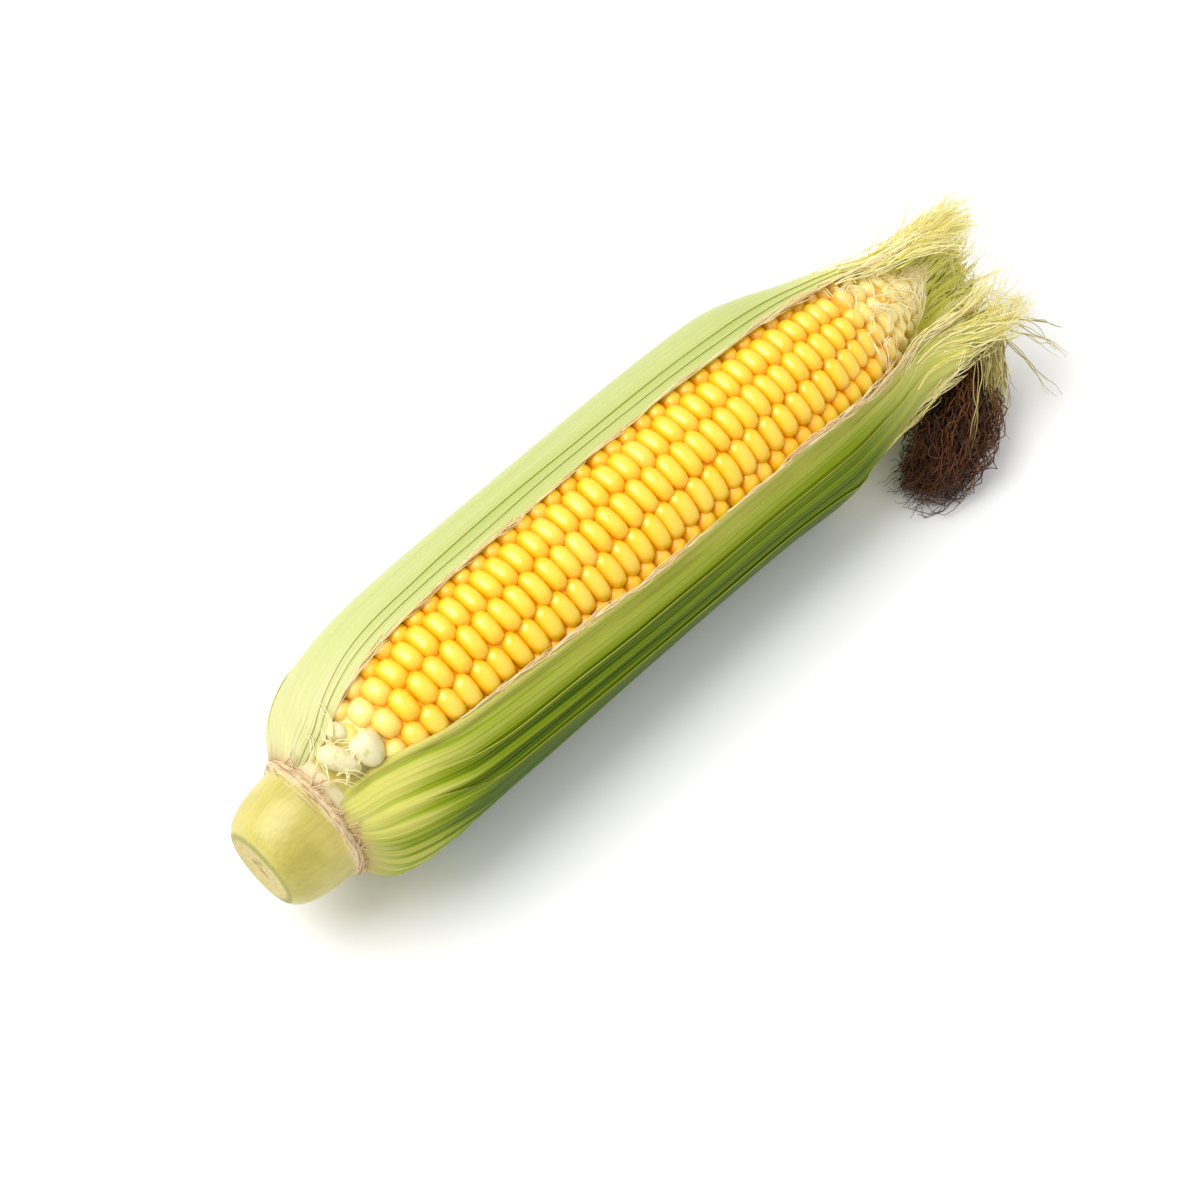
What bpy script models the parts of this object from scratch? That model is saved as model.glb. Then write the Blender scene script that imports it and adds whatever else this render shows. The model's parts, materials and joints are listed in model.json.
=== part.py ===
"""An ear of sweet corn lying on its back, its husk opened along the top.

Metres, +Z up, +X along the ear from the cut shank to the tip. The ear lies on z = 0.
A place on the ear is given by a distance s from the cut end, an angle and a radius: the angle is 0 at
the middle of the opening, positive towards -Y, and it is measured about the ear's centre line.
"""

import math

import bmesh
import bpy
from mathutils import Vector

# Driving dimensions.
LENGTH = 0.250  # cut shank to the ends of the husk leaves
AXIS_Y = 0.0062  # the ear's axis, to one side because the silk lies on the other
AXIS_Z = 0.0291  # the ear's axis above the surface it lies on
ROLL = math.radians(18.7)  # how far the opening leans from straight up, towards -Y

EAR_START = 0.0280
EAR_END = 0.2250
KERNEL_ROWS = 16
KERNEL_PITCH = 0.0051
KERNELS_START = 0.0370
KERNELS_END = 0.2105
KERNEL_NOTCH = 0.0011  # dip between the kernels of a row
ROW_NOTCH = 0.0017  # dip between two rows

COLLAR = 0.0205  # where the husk leaves join the shank
LEAF_COUNT = 8  # four from each side, one over the other
LEAF_THICKNESS = 0.0003
TOUCH_GAP = 0.00035
HUG_GAP = 0.0006  # between the kernels and the innermost leaf
TIP_ROOM = 0.003  # how much further than the ear's own taper the innermost leaf tapers
HUSK_SPREAD = 0.0055  # most that the leaves of one side spread apart past the ear's tip
# The leaves share their stations along the ear, and their columns round the back, so they nest.
STATIONS = (
    0.0225, 0.0240, 0.0255, 0.0270, 0.0300, 0.0350, 0.0430, 0.0550, 0.0720, 0.0950, 0.1200,
    0.1450, 0.1620, 0.1750, 0.1860, 0.1950, 0.2030, 0.2110, 0.2190, 0.2270, 0.2350, 0.2430, 0.2510,
)
SIDE_COLUMNS = 4  # from a leaf's edge to its side, at 90 degrees
BACK_STEP = 15  # degrees between the columns from there on

# Outlines, as (s, value) through which a smooth curve is drawn. Lengths in metres, angles in degrees.
CENTRE_SHIFT = ((0.0, 0.0055), (0.022, 0.0042), (0.040, 0.0020), (0.060, 0.0007), (0.080, 0.0), (0.25, 0.0))
EAR_RADIUS = (
    (0.028, 0.0145), (0.034, 0.0176), (0.045, 0.0208), (0.060, 0.0227), (0.085, 0.0237), (0.120, 0.0240),
    (0.150, 0.0237), (0.165, 0.0231), (0.177, 0.0221), (0.190, 0.0197), (0.201, 0.0160), (0.210, 0.0121),
    (0.218, 0.0080), (0.222, 0.0053), (0.2245, 0.0022), (0.225, 0.0),
)
HUSK_RADIUS = (
    (0.0225, 0.0192), (0.0255, 0.0208), (0.029, 0.0224), (0.034, 0.0246), (0.042, 0.0264), (0.058, 0.0284),
    (0.080, 0.0293), (0.110, 0.0294), (0.145, 0.0288), (0.160, 0.0281), (0.171, 0.0274), (0.184, 0.0251),
    (0.197, 0.0227), (0.210, 0.0200), (0.224, 0.0174), (0.237, 0.0165), (0.251, 0.0155),
)
HUSK_LEAN = (
    (0.0225, 0.0), (0.035, 0.0008), (0.046, 0.0016), (0.060, 0.0020), (0.120, 0.0018), (0.145, 0.0022),
    (0.160, 0.0028), (0.184, 0.0036), (0.197, 0.0042), (0.210, 0.0052), (0.224, 0.0068), (0.237, 0.0085),
    (0.251, 0.0090),
)
LEFT_EDGE = (
    (0.0225, -5), (0.031, -12), (0.040, -26), (0.050, -35), (0.062, -42), (0.080, -46), (0.140, -46),
    (0.167, -43), (0.195, -36), (0.212, -31), (0.224, -18), (0.237, -2), (0.251, 6),
)
RIGHT_EDGE = (
    (0.0225, 5), (0.031, 12), (0.040, 19), (0.050, 26), (0.066, 29), (0.088, 32), (0.115, 37),
    (0.140, 41.5), (0.167, 46.5), (0.185, 52), (0.203, 60), (0.218, 62), (0.235, 54), (0.251, 50),
)
# For each leaf of a side, innermost first: how far its edge stands back from the opening, and where it ends.
LEFT_SET_BACK = (0, 3, 7, 11)
RIGHT_SET_BACK = (0, 7, 20, 29)
LEFT_ENDS = (0.2410, 0.2445, 0.2500, 0.2470)
RIGHT_ENDS = (0.2440, 0.2480, 0.2420, 0.1850)
LEFT_FAR_EDGE = -225
RIGHT_FAR_EDGE = 195
# Beneath the mouth of the husk the leaves are short, and the silk drops out there.
SHORT_FROM, SHORT_TO, SHORT_END = 98, 160, 0.2100
TEAR_DEPTH = 0.0045  # depth of the notches along a torn leaf end

# The silk's path as (s, how far past the axis towards +Y, height, radius): from beside the ear's tip, out of
# the mouth and back along the surface.
SILK = (
    (0.2035, -0.0166, 0.0221, 0.0010), (0.2120, -0.0144, 0.0230, 0.0018), (0.2210, -0.0119, 0.0238, 0.0027),
    (0.2295, -0.0095, 0.0213, 0.0031), (0.2350, -0.0097, 0.0148, 0.0036), (0.2330, -0.0159, 0.0080, 0.0050),
    (0.2250, -0.0249, 0.0068, 0.0068), (0.2130, -0.0319, 0.0072, 0.0080), (0.2000, -0.0339, 0.0068, 0.0076),
    (0.1910, -0.0341, 0.0052, 0.0045),
)
SILK_SIDES = 12

COLOURS = {
    "kernel_yellow": ((0.95, 0.62, 0.06, 1.0), 0.28),
    "husk_inner": ((0.74, 0.76, 0.30, 1.0), 0.55),
    "husk_outer": ((0.36, 0.50, 0.09, 1.0), 0.50),
    "shank_green": ((0.72, 0.74, 0.30, 1.0), 0.42),
    "silk_brown": ((0.17, 0.08, 0.03, 1.0), 0.60),
}


def smooth(t):
    t = min(max(t, 0.0), 1.0)
    return t * t * (3 - 2 * t)


def outline(points, s):
    """Value at s of a smooth curve through the points."""
    last = len(points) - 1
    if s <= points[0][0]:
        return points[0][1]
    if s >= points[last][0]:
        return points[last][1]
    i = max(n for n in range(last) if points[n][0] <= s)

    def slope(n):
        before, after = points[max(n - 1, 0)], points[min(n + 1, last)]
        return (after[1] - before[1]) / (after[0] - before[0])

    (s0, v0), (s1, v1) = points[i], points[i + 1]
    span = s1 - s0
    t = (s - s0) / span
    return (
        (2 * t**3 - 3 * t**2 + 1) * v0
        + (t**3 - 2 * t**2 + t) * span * slope(i)
        + (3 * t**2 - 2 * t**3) * v1
        + (t**3 - t**2) * span * slope(i + 1)
    )


def place(s, angle, radius):
    """The point at a distance, an angle in radians and a radius about the ear's centre line."""
    turn = ROLL + angle
    shift = outline(CENTRE_SHIFT, s)
    side = ROLL + math.pi / 2
    return Vector((
        s - LENGTH / 2,
        AXIS_Y - shift * math.sin(side) - radius * math.sin(turn),
        AXIS_Z + shift * math.cos(side) + radius * math.cos(turn),
    ))


def husk_outside(s, angle):
    """Radius of the outermost leaf, wider on the side that hangs loose, with room for all that it covers."""
    return max(
        outline(HUSK_RADIUS, s) + outline(HUSK_LEAN, s) * math.sin(angle),
        husk_hug(s) + (LEAF_COUNT - 1) * (LEAF_THICKNESS + TOUCH_GAP) / 2,
    )


def husk_hug(s):
    """Radius of a leaf's outer face where it lies on the kernels."""
    hugged = min(max(s - TIP_ROOM * smooth((s - 0.185) / 0.020), EAR_START), EAR_END)
    return outline(EAR_RADIUS, hugged) + HUG_GAP + LEAF_THICKNESS


def husk_inside(s, angle):
    """Radius of the innermost leaf's outer face, which hugs the ear and stays open past its tip."""
    return max(husk_hug(s), husk_outside(s, angle) - HUSK_SPREAD)


def overlap_share(angle):
    """1 along the back, where the leaves of both sides lie in between each other, and 0 at the sides."""
    turn = math.degrees(angle) % 360
    return smooth((turn - 102) / 30) * (1 - smooth((turn - 198) / 30))


def leaf_layer(leaf, angle):
    """0 for the innermost layer to 1 for the outermost, at an angle."""
    rank, side = divmod(leaf, 2)
    alone = rank / 3
    between = (2 * rank + side) / (LEAF_COUNT - 1)
    return alone + (between - alone) * overlap_share(angle)


def leaf_point(leaf, s, angle):
    """A point of a leaf's outer face, pressed flat where the ear lies on it."""
    inside, outside = husk_inside(s, angle), husk_outside(s, angle)
    layer = leaf_layer(leaf, angle)
    point = place(s, angle, inside + (outside - inside) * layer)
    point.z = max(point.z, (1 - layer) * (AXIS_Z - inside))
    return point


def leaf_end(leaf, angle):
    """How far a leaf reaches at an angle, with the notches of its torn end."""
    rank, side = divmod(leaf, 2)
    end = (RIGHT_ENDS if side else LEFT_ENDS)[rank]
    turn = math.degrees(angle)
    end -= TEAR_DEPTH * abs(((turn / 24 + 0.37 * leaf) % 1.0) * 2 - 1)
    middle = (SHORT_FROM + SHORT_TO) / 2
    half = (SHORT_TO - SHORT_FROM) / 2
    shortness = 1 - smooth((abs(turn % 360 - middle) - half) / 14)
    return end + (min(end, SHORT_END) - end) * shortness


def add_object(name, bm, colour, smooth_angle=40):
    mesh = bpy.data.meshes.new(name)
    bmesh.ops.recalc_face_normals(bm, faces=bm.faces)
    bm.to_mesh(mesh)
    bm.free()
    mesh.shade_smooth()
    mesh.set_sharp_from_angle(angle=math.radians(smooth_angle))
    mesh.materials.append(material(colour))
    obj = bpy.data.objects.new(name, mesh)
    bpy.context.scene.collection.objects.link(obj)
    return obj


def material(name):
    found = bpy.data.materials.get(name)
    if found:
        return found
    colour, roughness = COLOURS[name]
    made = bpy.data.materials.new(name)
    made.use_nodes = True
    shader = made.node_tree.nodes["Principled BSDF"]
    shader.inputs["Base Color"].default_value = colour
    shader.inputs["Roughness"].default_value = roughness
    shader.inputs["Metallic"].default_value = 0.0
    return made


def loft(rings, close_start=None, close_end=None):
    """Joins closed rings of points, and closes each end with a fan to a point, or with one flat face."""
    bm = bmesh.new()
    made = [[bm.verts.new(p) for p in ring] for ring in rings]
    for low, high in zip(made, made[1:]):
        for i in range(len(low)):
            after = (i + 1) % len(low)
            bm.faces.new((low[i], low[after], high[after], high[i]))
    for ring, tip in ((made[0], close_start), (made[-1], close_end)):
        if tip is None:
            bm.faces.new(ring)
            continue
        point = bm.verts.new(tip)
        for i in range(len(ring)):
            bm.faces.new((ring[i], ring[(i + 1) % len(ring)], point))
    return bm


def make_ear():
    """Cob and kernels, grown as one piece: each kernel is a crown between two dips along its row."""
    columns = 2 * KERNEL_ROWS
    step = math.tau / columns
    half_pitch = KERNEL_PITCH / 2
    count = round((KERNELS_END - KERNELS_START) / half_pitch)

    def ring(s, index):
        points = []
        for column in range(columns):
            radius = outline(EAR_RADIUS, s)
            share = smooth((radius - 0.006) / 0.010)
            if column % 2 == 0:
                radius -= ROW_NOTCH * share
            elif index is not None:
                pair = ((column - 1) // 2 + 1) // 2
                if (index + pair) % 2 == 0:
                    radius -= KERNEL_NOTCH * share
            points.append(place(s, column * step, radius))
        return points

    rings = [ring(EAR_START, None), ring((EAR_START + KERNELS_START) / 2, None)]
    rings += [ring(KERNELS_START + i * half_pitch, i) for i in range(count + 1)]
    rings += [ring(EAR_END - back, None) for back in (0.0115, 0.0085, 0.0055, 0.0030, 0.0010)]
    return add_object("ear", loft(rings, close_end=place(EAR_END, 0, 0)), "kernel_yellow", 60)


def make_shank():
    """The cut stem, with the pith's dent in its cut face and the ridge of the collar."""
    profile = (
        (0.0018, 0.0006), (0.0, 0.0017), (0.0, 0.0102), (0.0012, 0.0117), (0.0060, 0.0128), (0.0125, 0.0139),
        (0.0175, 0.0147), (0.0190, 0.0156), (COLLAR, 0.0160), (0.0220, 0.0150), (0.0240, 0.0140),
        (EAR_START - TOUCH_GAP, 0.0134),
    )
    sides = 28
    rings = [[place(s, math.tau * i / sides, radius) for i in range(sides)] for s, radius in profile]
    return add_object("shank", loft(rings), "shank_green")


def leaf_columns(leaf, station):
    """The angles, in degrees, of a leaf's columns at a station, from its edge to its far edge."""
    rank, side = divmod(leaf, 2)
    direction = 1 if side else -1
    set_back = (RIGHT_SET_BACK if side else LEFT_SET_BACK)[rank]
    near = outline(RIGHT_EDGE if side else LEFT_EDGE, station)
    near += direction * set_back * smooth((station - 0.028) / 0.03)
    far = RIGHT_FAR_EDGE if side else LEFT_FAR_EDGE
    turns = [near + (direction * 90 - near) * i / SIDE_COLUMNS for i in range(SIDE_COLUMNS)]
    return turns + list(range(direction * 90, far + direction, direction * BACK_STEP))


def make_leaf(leaf):
    """One husk leaf, from its edge at the opening round the back, torn off short at its tip."""
    rank, side = divmod(leaf, 2)
    stations = STATIONS[3 - rank:]  # the outer leaves join the shank lowest
    bm = bmesh.new()
    columns = []
    for column in range(len(leaf_columns(leaf, stations[0]))):
        verts = []
        for station in stations:
            angle = math.radians(leaf_columns(leaf, station)[column])
            end = leaf_end(leaf, angle)
            last = min(stations, key=lambda s: abs(s - end))
            if station <= last:
                verts.append(bm.verts.new(leaf_point(leaf, end if station == last else station, angle)))
            else:
                verts.append(verts[-1])
        columns.append(verts)
    for near, far in zip(columns, columns[1:]):
        for a, b, c, d in zip(near, near[1:], far[1:], far):
            corners = list(dict.fromkeys((d, c, b, a) if side else (a, b, c, d)))
            if len(corners) > 2:
                bm.faces.new(corners)
    mesh = bpy.data.meshes.new("leaf")
    bm.to_mesh(mesh)
    bm.free()
    mesh.shade_smooth()
    mesh.materials.append(material("husk_outer" if rank > 1 else "husk_inner"))
    obj = bpy.data.objects.new(f"husk_leaf_{'right' if side else 'left'}_{rank + 1}", mesh)
    bpy.context.scene.collection.objects.link(obj)
    thicken = obj.modifiers.new("thickness", "SOLIDIFY")
    thicken.thickness = LEAF_THICKNESS
    thicken.offset = -1
    return obj


def make_silk():
    """The tuft of silk as one plain tapered body, flat where it lies on the surface."""
    centres = [Vector((s - LENGTH / 2, AXIS_Y + y, z)) for s, y, z, _ in SILK]
    across = Vector((0, 0.8, -0.6))
    rings = []
    for i, (centre, (_, _, _, radius)) in enumerate(zip(centres, SILK)):
        ahead = (centres[min(i + 1, len(centres) - 1)] - centres[max(i - 1, 0)]).normalized()
        other = ahead.cross(across).normalized()
        first = other.cross(ahead)
        ring = []
        for n in range(SILK_SIDES):
            turn = math.tau * n / SILK_SIDES
            point = centre + radius * (math.cos(turn) * first + math.sin(turn) * other)
            ring.append(Vector((point.x, point.y, max(point.z, 0.0))))
        rings.append(ring)
    return add_object("silk", loft(rings), "silk_brown", 60)


def main():
    for obj in list(bpy.data.objects):
        bpy.data.objects.remove(obj)
    made = [make_ear(), make_shank(), make_silk()]
    made += [make_leaf(leaf) for leaf in range(LEAF_COUNT)]
    whole = bpy.data.objects.new("corn_cob", None)
    bpy.context.scene.collection.objects.link(whole)
    for obj in made:
        obj.parent = whole


main()
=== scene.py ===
import json
import math
import random

import bmesh
import bpy
from mathutils import Matrix, Vector, noise

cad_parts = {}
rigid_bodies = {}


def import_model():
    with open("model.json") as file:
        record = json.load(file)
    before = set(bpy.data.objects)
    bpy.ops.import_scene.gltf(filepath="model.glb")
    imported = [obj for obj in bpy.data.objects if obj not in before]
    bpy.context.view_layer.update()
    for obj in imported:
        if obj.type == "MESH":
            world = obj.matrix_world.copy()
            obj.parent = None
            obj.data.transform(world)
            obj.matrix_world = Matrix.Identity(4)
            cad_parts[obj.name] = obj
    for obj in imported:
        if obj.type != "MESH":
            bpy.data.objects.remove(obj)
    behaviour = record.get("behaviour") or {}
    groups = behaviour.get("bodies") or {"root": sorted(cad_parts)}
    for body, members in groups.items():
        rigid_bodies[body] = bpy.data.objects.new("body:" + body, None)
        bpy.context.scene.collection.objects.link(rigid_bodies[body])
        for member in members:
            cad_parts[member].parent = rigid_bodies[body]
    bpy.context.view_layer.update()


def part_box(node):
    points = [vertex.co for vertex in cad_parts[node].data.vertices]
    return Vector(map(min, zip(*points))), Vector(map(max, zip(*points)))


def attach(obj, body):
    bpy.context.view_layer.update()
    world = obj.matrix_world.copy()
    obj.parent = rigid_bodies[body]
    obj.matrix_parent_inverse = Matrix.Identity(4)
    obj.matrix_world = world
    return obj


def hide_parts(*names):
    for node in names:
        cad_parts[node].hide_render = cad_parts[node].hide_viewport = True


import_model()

mm = 0.001
tau = math.tau
print("frame loaded")

axis = {
    "roll": math.radians(18.7),  # the opening leans this far towards -Y
    "sag": ((0, 5.5), (18, 4.6), (32, 2.0), (45, 0.6), (60, 0), (250, 0)),  # mm, how low the stem end hangs
}
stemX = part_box("shank")[0].x
axisY = (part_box("ear")[0].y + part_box("ear")[1].y) / 2
axisZ = (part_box("ear")[0].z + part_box("ear")[1].z) / 2


def ease(t):
    t = min(max(t, 0.0), 1.0)
    return t * t * (3 - 2 * t)


def blend(a, b, t):
    return a + (b - a) * t


def through(points, x):  # a smooth curve through a few points
    last = len(points) - 1
    if x <= points[0][0]:
        return points[0][1]
    if x >= points[last][0]:
        return points[last][1]
    i = max(n for n in range(last) if points[n][0] <= x)

    def slope(n):
        before, after = points[max(n - 1, 0)], points[min(n + 1, last)]
        return (after[1] - before[1]) / (after[0] - before[0])

    (x0, y0), (x1, y1) = points[i], points[i + 1]
    span = x1 - x0
    t = (x - x0) / span
    return ((2 * t**3 - 3 * t**2 + 1) * y0 + (t**3 - 2 * t**2 + t) * span * slope(i)
            + (3 * t**2 - 2 * t**3) * y1 + (t**3 - t**2) * span * slope(i + 1))


def place(s, turn, radius):  # s and radius in mm, turn in degrees
    lean = axis["roll"] + math.radians(turn)
    side = axis["roll"] + math.pi / 2
    sag = through(axis["sag"], s)
    return Vector((
        stemX + s * mm,
        axisY - (sag * math.sin(side) + radius * math.sin(lean)) * mm,
        axisZ + (sag * math.cos(side) + radius * math.cos(lean)) * mm,
    ))


def wobble(x, y, seed):  # smooth noise from -1 to 1
    return noise.noise(Vector((x, y, seed * 7.31)))


def spot(s, y, z):  # mm along, towards +Y from the ear's axis, and up
    return Vector((stemX + s * mm, axisY + y * mm, z * mm))


class Wire:  # a socket that can be written into sums
    def __init__(self, graph, socket):
        self.graph = graph
        self.socket = socket

    def __add__(self, other):
        return self.graph.maths("ADD", self, other)

    def __sub__(self, other):
        return self.graph.maths("SUBTRACT", self, other)

    def __rsub__(self, other):
        return self.graph.maths("SUBTRACT", other, self)

    def __mul__(self, other):
        return self.graph.maths("MULTIPLY", self, other)

    def __pow__(self, other):
        return self.graph.maths("POWER", self, other)

    __radd__ = __add__
    __rmul__ = __mul__


class Graph:  # a node tree, shader or geometry
    def __init__(self, tree):
        self.tree = tree
        tree.nodes.clear()

    def node(self, kind, settings=None, values=None, output=0):
        made = self.tree.nodes.new(kind)
        for name, value in (settings or {}).items():
            if name == "stops":
                setStops(made.color_ramp, value)
            else:
                setattr(made, name, value)
        for name, value in (values or {}).items():
            if isinstance(value, Wire):
                self.tree.links.new(value.socket, made.inputs[name])
            else:
                made.inputs[name].default_value = value
        return Wire(self, made.outputs[output]) if made.outputs else made

    def maths(self, operation, *terms):
        return self.node("ShaderNodeMath", {"operation": operation}, dict(enumerate(terms)))

    def vector(self, operation, *terms):
        return self.node("ShaderNodeVectorMath", {"operation": operation}, dict(enumerate(terms)))

    def scaled(self, vector, amount):
        return self.node("ShaderNodeVectorMath", {"operation": "SCALE"}, {0: vector, "Scale": amount})

    def xyz(self, x, y, z):
        return self.node("ShaderNodeCombineXYZ", None, {"X": x, "Y": y, "Z": z})

    def part(self, vector, axisName):
        return self.node("ShaderNodeSeparateXYZ", None, {"Vector": vector}, axisName)

    def mix(self, factor, a, b):  # colours
        return self.node("ShaderNodeMix", {"data_type": "RGBA"}, {0: factor, 6: a, 7: b}, 2)

    def ramp(self, value, low, high):  # an eased step, 0 below low and 1 above high
        settings = {"interpolation_type": "SMOOTHSTEP"}
        return self.node("ShaderNodeMapRange", settings, {0: value, 1: low, 2: high})

    def noise(self, where, scale, detail=2.0, rough=0.5, output="Fac"):
        values = {"Vector": where, "Scale": scale, "Detail": detail, "Roughness": rough}
        return self.node("ShaderNodeTexNoise", None, values, output)

    def read(self, name):
        return self.node("ShaderNodeAttribute", {"attribute_name": name}, None, "Fac")

    def named(self, name, kind):
        return self.node("GeometryNodeInputNamedAttribute", {"data_type": kind}, {"Name": name})


def setStops(ramp, stops):
    while len(ramp.elements) > 1:
        ramp.elements.remove(ramp.elements[-1])
    for i, (where, tone) in enumerate(stops):
        element = ramp.elements[0] if i == 0 else ramp.elements.new(where)
        element.position = where
        element.color = tone


def colour(red, green, blue):  # from the 0 to 255 of a colour picker
    def linear(v):
        v /= 255
        return v / 12.92 if v <= 0.04045 else ((v + 0.055) / 1.055) ** 2.4
    return (linear(red), linear(green), linear(blue), 1.0)


def soft(share, colours, depth):  # how light goes a little way in
    return {"Subsurface Weight": share, "Subsurface Radius": colours, "Subsurface Scale": depth}


class Paint(Graph):  # a material whose surface is one Principled shader
    def __init__(self, name, fixed):
        self.material = bpy.data.materials.new(name)
        self.material.use_nodes = True
        super().__init__(self.material.node_tree)
        self.shader = self.tree.nodes.new("ShaderNodeBsdfPrincipled")
        for socket, value in fixed.items():
            self.shader.inputs[socket].default_value = value
        out = self.tree.nodes.new("ShaderNodeOutputMaterial")
        self.tree.links.new(self.shader.outputs[0], out.inputs["Surface"])

    def feed(self, **sockets):
        for name, wire in sockets.items():
            self.tree.links.new(wire.socket, self.shader.inputs[name.replace("_", " ")])
        return self.material

    def bump(self, height, strength, distance):
        values = {"Height": height, "Strength": strength, "Distance": distance}
        return self.node("ShaderNodeBump", None, values)

    def where(self):
        return self.node("ShaderNodeTexCoord", None, None, "Object")


def newTree(name, inputs):  # inputs: name to (socket type, value)
    tree = bpy.data.node_groups.new(name, "GeometryNodeTree")
    tree.interface.new_socket("Geometry", in_out="INPUT", socket_type="NodeSocketGeometry")
    tree.interface.new_socket("Geometry", in_out="OUTPUT", socket_type="NodeSocketGeometry")
    for label, (kind, value) in inputs.items():
        socket = tree.interface.new_socket(label, in_out="INPUT", socket_type=kind)
        if value is not None:
            socket.default_value = value
    return tree


def begin(tree):
    graph = Graph(tree)
    source = tree.nodes.new("NodeGroupInput")
    return graph, {socket.name: Wire(graph, socket) for socket in source.outputs if socket.name}


def finishTree(graph, geometry, material):
    real = graph.node("GeometryNodeRealizeInstances", None, {"Geometry": geometry})
    painted = graph.node("GeometryNodeSetMaterial", None, {"Geometry": real, "Material": material})
    out = graph.tree.nodes.new("NodeGroupOutput")
    graph.tree.links.new(painted.socket, out.inputs[0])


def newObject(name, data):
    made = bpy.data.objects.new(name, data)
    bpy.context.scene.collection.objects.link(made)
    return made


def grow(name, mesh, tree, settings):  # runs a tree on a mesh and keeps the result as a plain mesh
    seedObject = newObject(name + "Seed", mesh)
    modifier = seedObject.modifiers.new("grow", "NODES")
    modifier.node_group = tree
    for item in tree.interface.items_tree:
        if item.item_type == "SOCKET" and item.in_out == "INPUT" and item.name in settings:
            modifier[item.identifier] = settings[item.name]
    bpy.context.view_layer.update()
    evaluated = seedObject.evaluated_get(bpy.context.evaluated_depsgraph_get())
    plain = bpy.data.meshes.new_from_object(evaluated)
    plain.name = name
    bpy.data.objects.remove(seedObject)
    return newObject(name, plain)


def keep(piece, slot, node):  # hands a finished piece to the frame
    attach(piece, "root")
    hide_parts(node)


def meshFrom(bm, name):
    mesh = bpy.data.meshes.new(name)
    bm.to_mesh(mesh)
    bm.free()
    mesh.shade_smooth()
    return mesh


def ringMesh(name, lumps):  # a lump is its rings of points, and the point that closes each end
    bm = bmesh.new()
    for rings, startTip, endTip in lumps:
        made = [[bm.verts.new(p) for p in ring] for ring in rings]
        count = len(made[0])
        for low, high in zip(made, made[1:]):
            for i in range(count):
                bm.faces.new((low[i], low[(i + 1) % count], high[(i + 1) % count], high[i]))
        for ring, tip in ((made[0], startTip), (made[-1], endTip)):
            point = bm.verts.new(tip)
            for i in range(count):
                bm.faces.new((ring[i], ring[(i + 1) % count], point))
    bmesh.ops.recalc_face_normals(bm, faces=bm.faces)
    return meshFrom(bm, name)


def pointMesh(name, points, fields):  # loose points with named values
    mesh = bpy.data.meshes.new(name)
    mesh.from_pydata([p[:] for p in points], [], [])
    for field, (kind, values) in fields.items():
        layer = mesh.attributes.new(field, kind, "POINT")
        if kind == "FLOAT_VECTOR":
            layer.data.foreach_set("vector", [c for v in values for c in v])
        else:
            layer.data.foreach_set("value", values)
    return mesh


def lineMesh(name, lines):  # open lines
    points = []
    edges = []
    for line in lines:
        first = len(points)
        points += [p[:] for p in line]
        edges += [(first + i, first + i + 1) for i in range(len(line) - 1)]
    mesh = bpy.data.meshes.new(name)
    mesh.from_pydata(points, edges, [])
    return mesh


view = {
    "towards": Vector((-0.350, -0.352, 0.868)),  # from the ear to the camera
    "aim": Vector((-0.0212, -0.0027, 0.026)),
    "distance": 0.6713,
    "lens": 85.0,
    "floorSize": 30.0,
    "floorTone": 0.92,
    "skyTone": 0.98,
    "skyPower": 0.70,
    # place, size across and watts
    "lights": {"key": ((-0.46, 0.50, 1.08), 1.2, 16), "fill": ((0.7, -0.7, 1.3), 1.4, 2)},
}


def makeCamera():
    camera = newObject("camera", bpy.data.cameras.new("camera"))
    towards = view["towards"].normalized()
    camera.data.lens = view["lens"]
    camera.data.clip_start = 0.01
    camera.data.clip_end = 100
    camera.location = view["aim"] + towards * view["distance"]
    camera.rotation_euler = towards.to_track_quat("Z", "Y").to_euler()
    bpy.context.scene.camera = camera


def makeLight(name, where, size, power):
    data = bpy.data.lights.new(name, "AREA")
    data.shape = "DISK"
    data.size = size
    data.energy = power
    lamp = newObject(name, data)
    lamp.location = where
    lamp.rotation_euler = Vector(where).to_track_quat("Z", "Y").to_euler()


def makeStudio():
    scene = bpy.context.scene
    scene.view_settings.view_transform = "Standard"
    world = bpy.data.worlds.new("sky")
    world.use_nodes = True
    sky = world.node_tree.nodes["Background"]
    sky.inputs["Color"].default_value = (view["skyTone"],) * 3 + (1,)
    sky.inputs["Strength"].default_value = view["skyPower"]
    scene.world = world
    for name, light in view["lights"].items():
        makeLight(name, *light)

    mesh = bpy.data.meshes.new("floor")
    half = view["floorSize"] / 2
    corners = [(-half, -half, 0), (half, -half, 0), (half, half, 0), (-half, half, 0)]
    mesh.from_pydata(corners, [], [(0, 1, 2, 3)])
    floor = newObject("floor", mesh)
    paint = Paint("floorPaint", {"Roughness": 0.75, "Specular IOR Level": 0.2})
    speck = paint.noise(paint.where(), 6.0)
    tone = view["floorTone"]
    tint = paint.mix(speck, (tone,) * 3 + (1,), (tone + 0.01,) * 3 + (1,))
    mesh.materials.append(paint.feed(Base_Color=tint))


makeCamera()
makeStudio()
print("studio ready")

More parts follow.
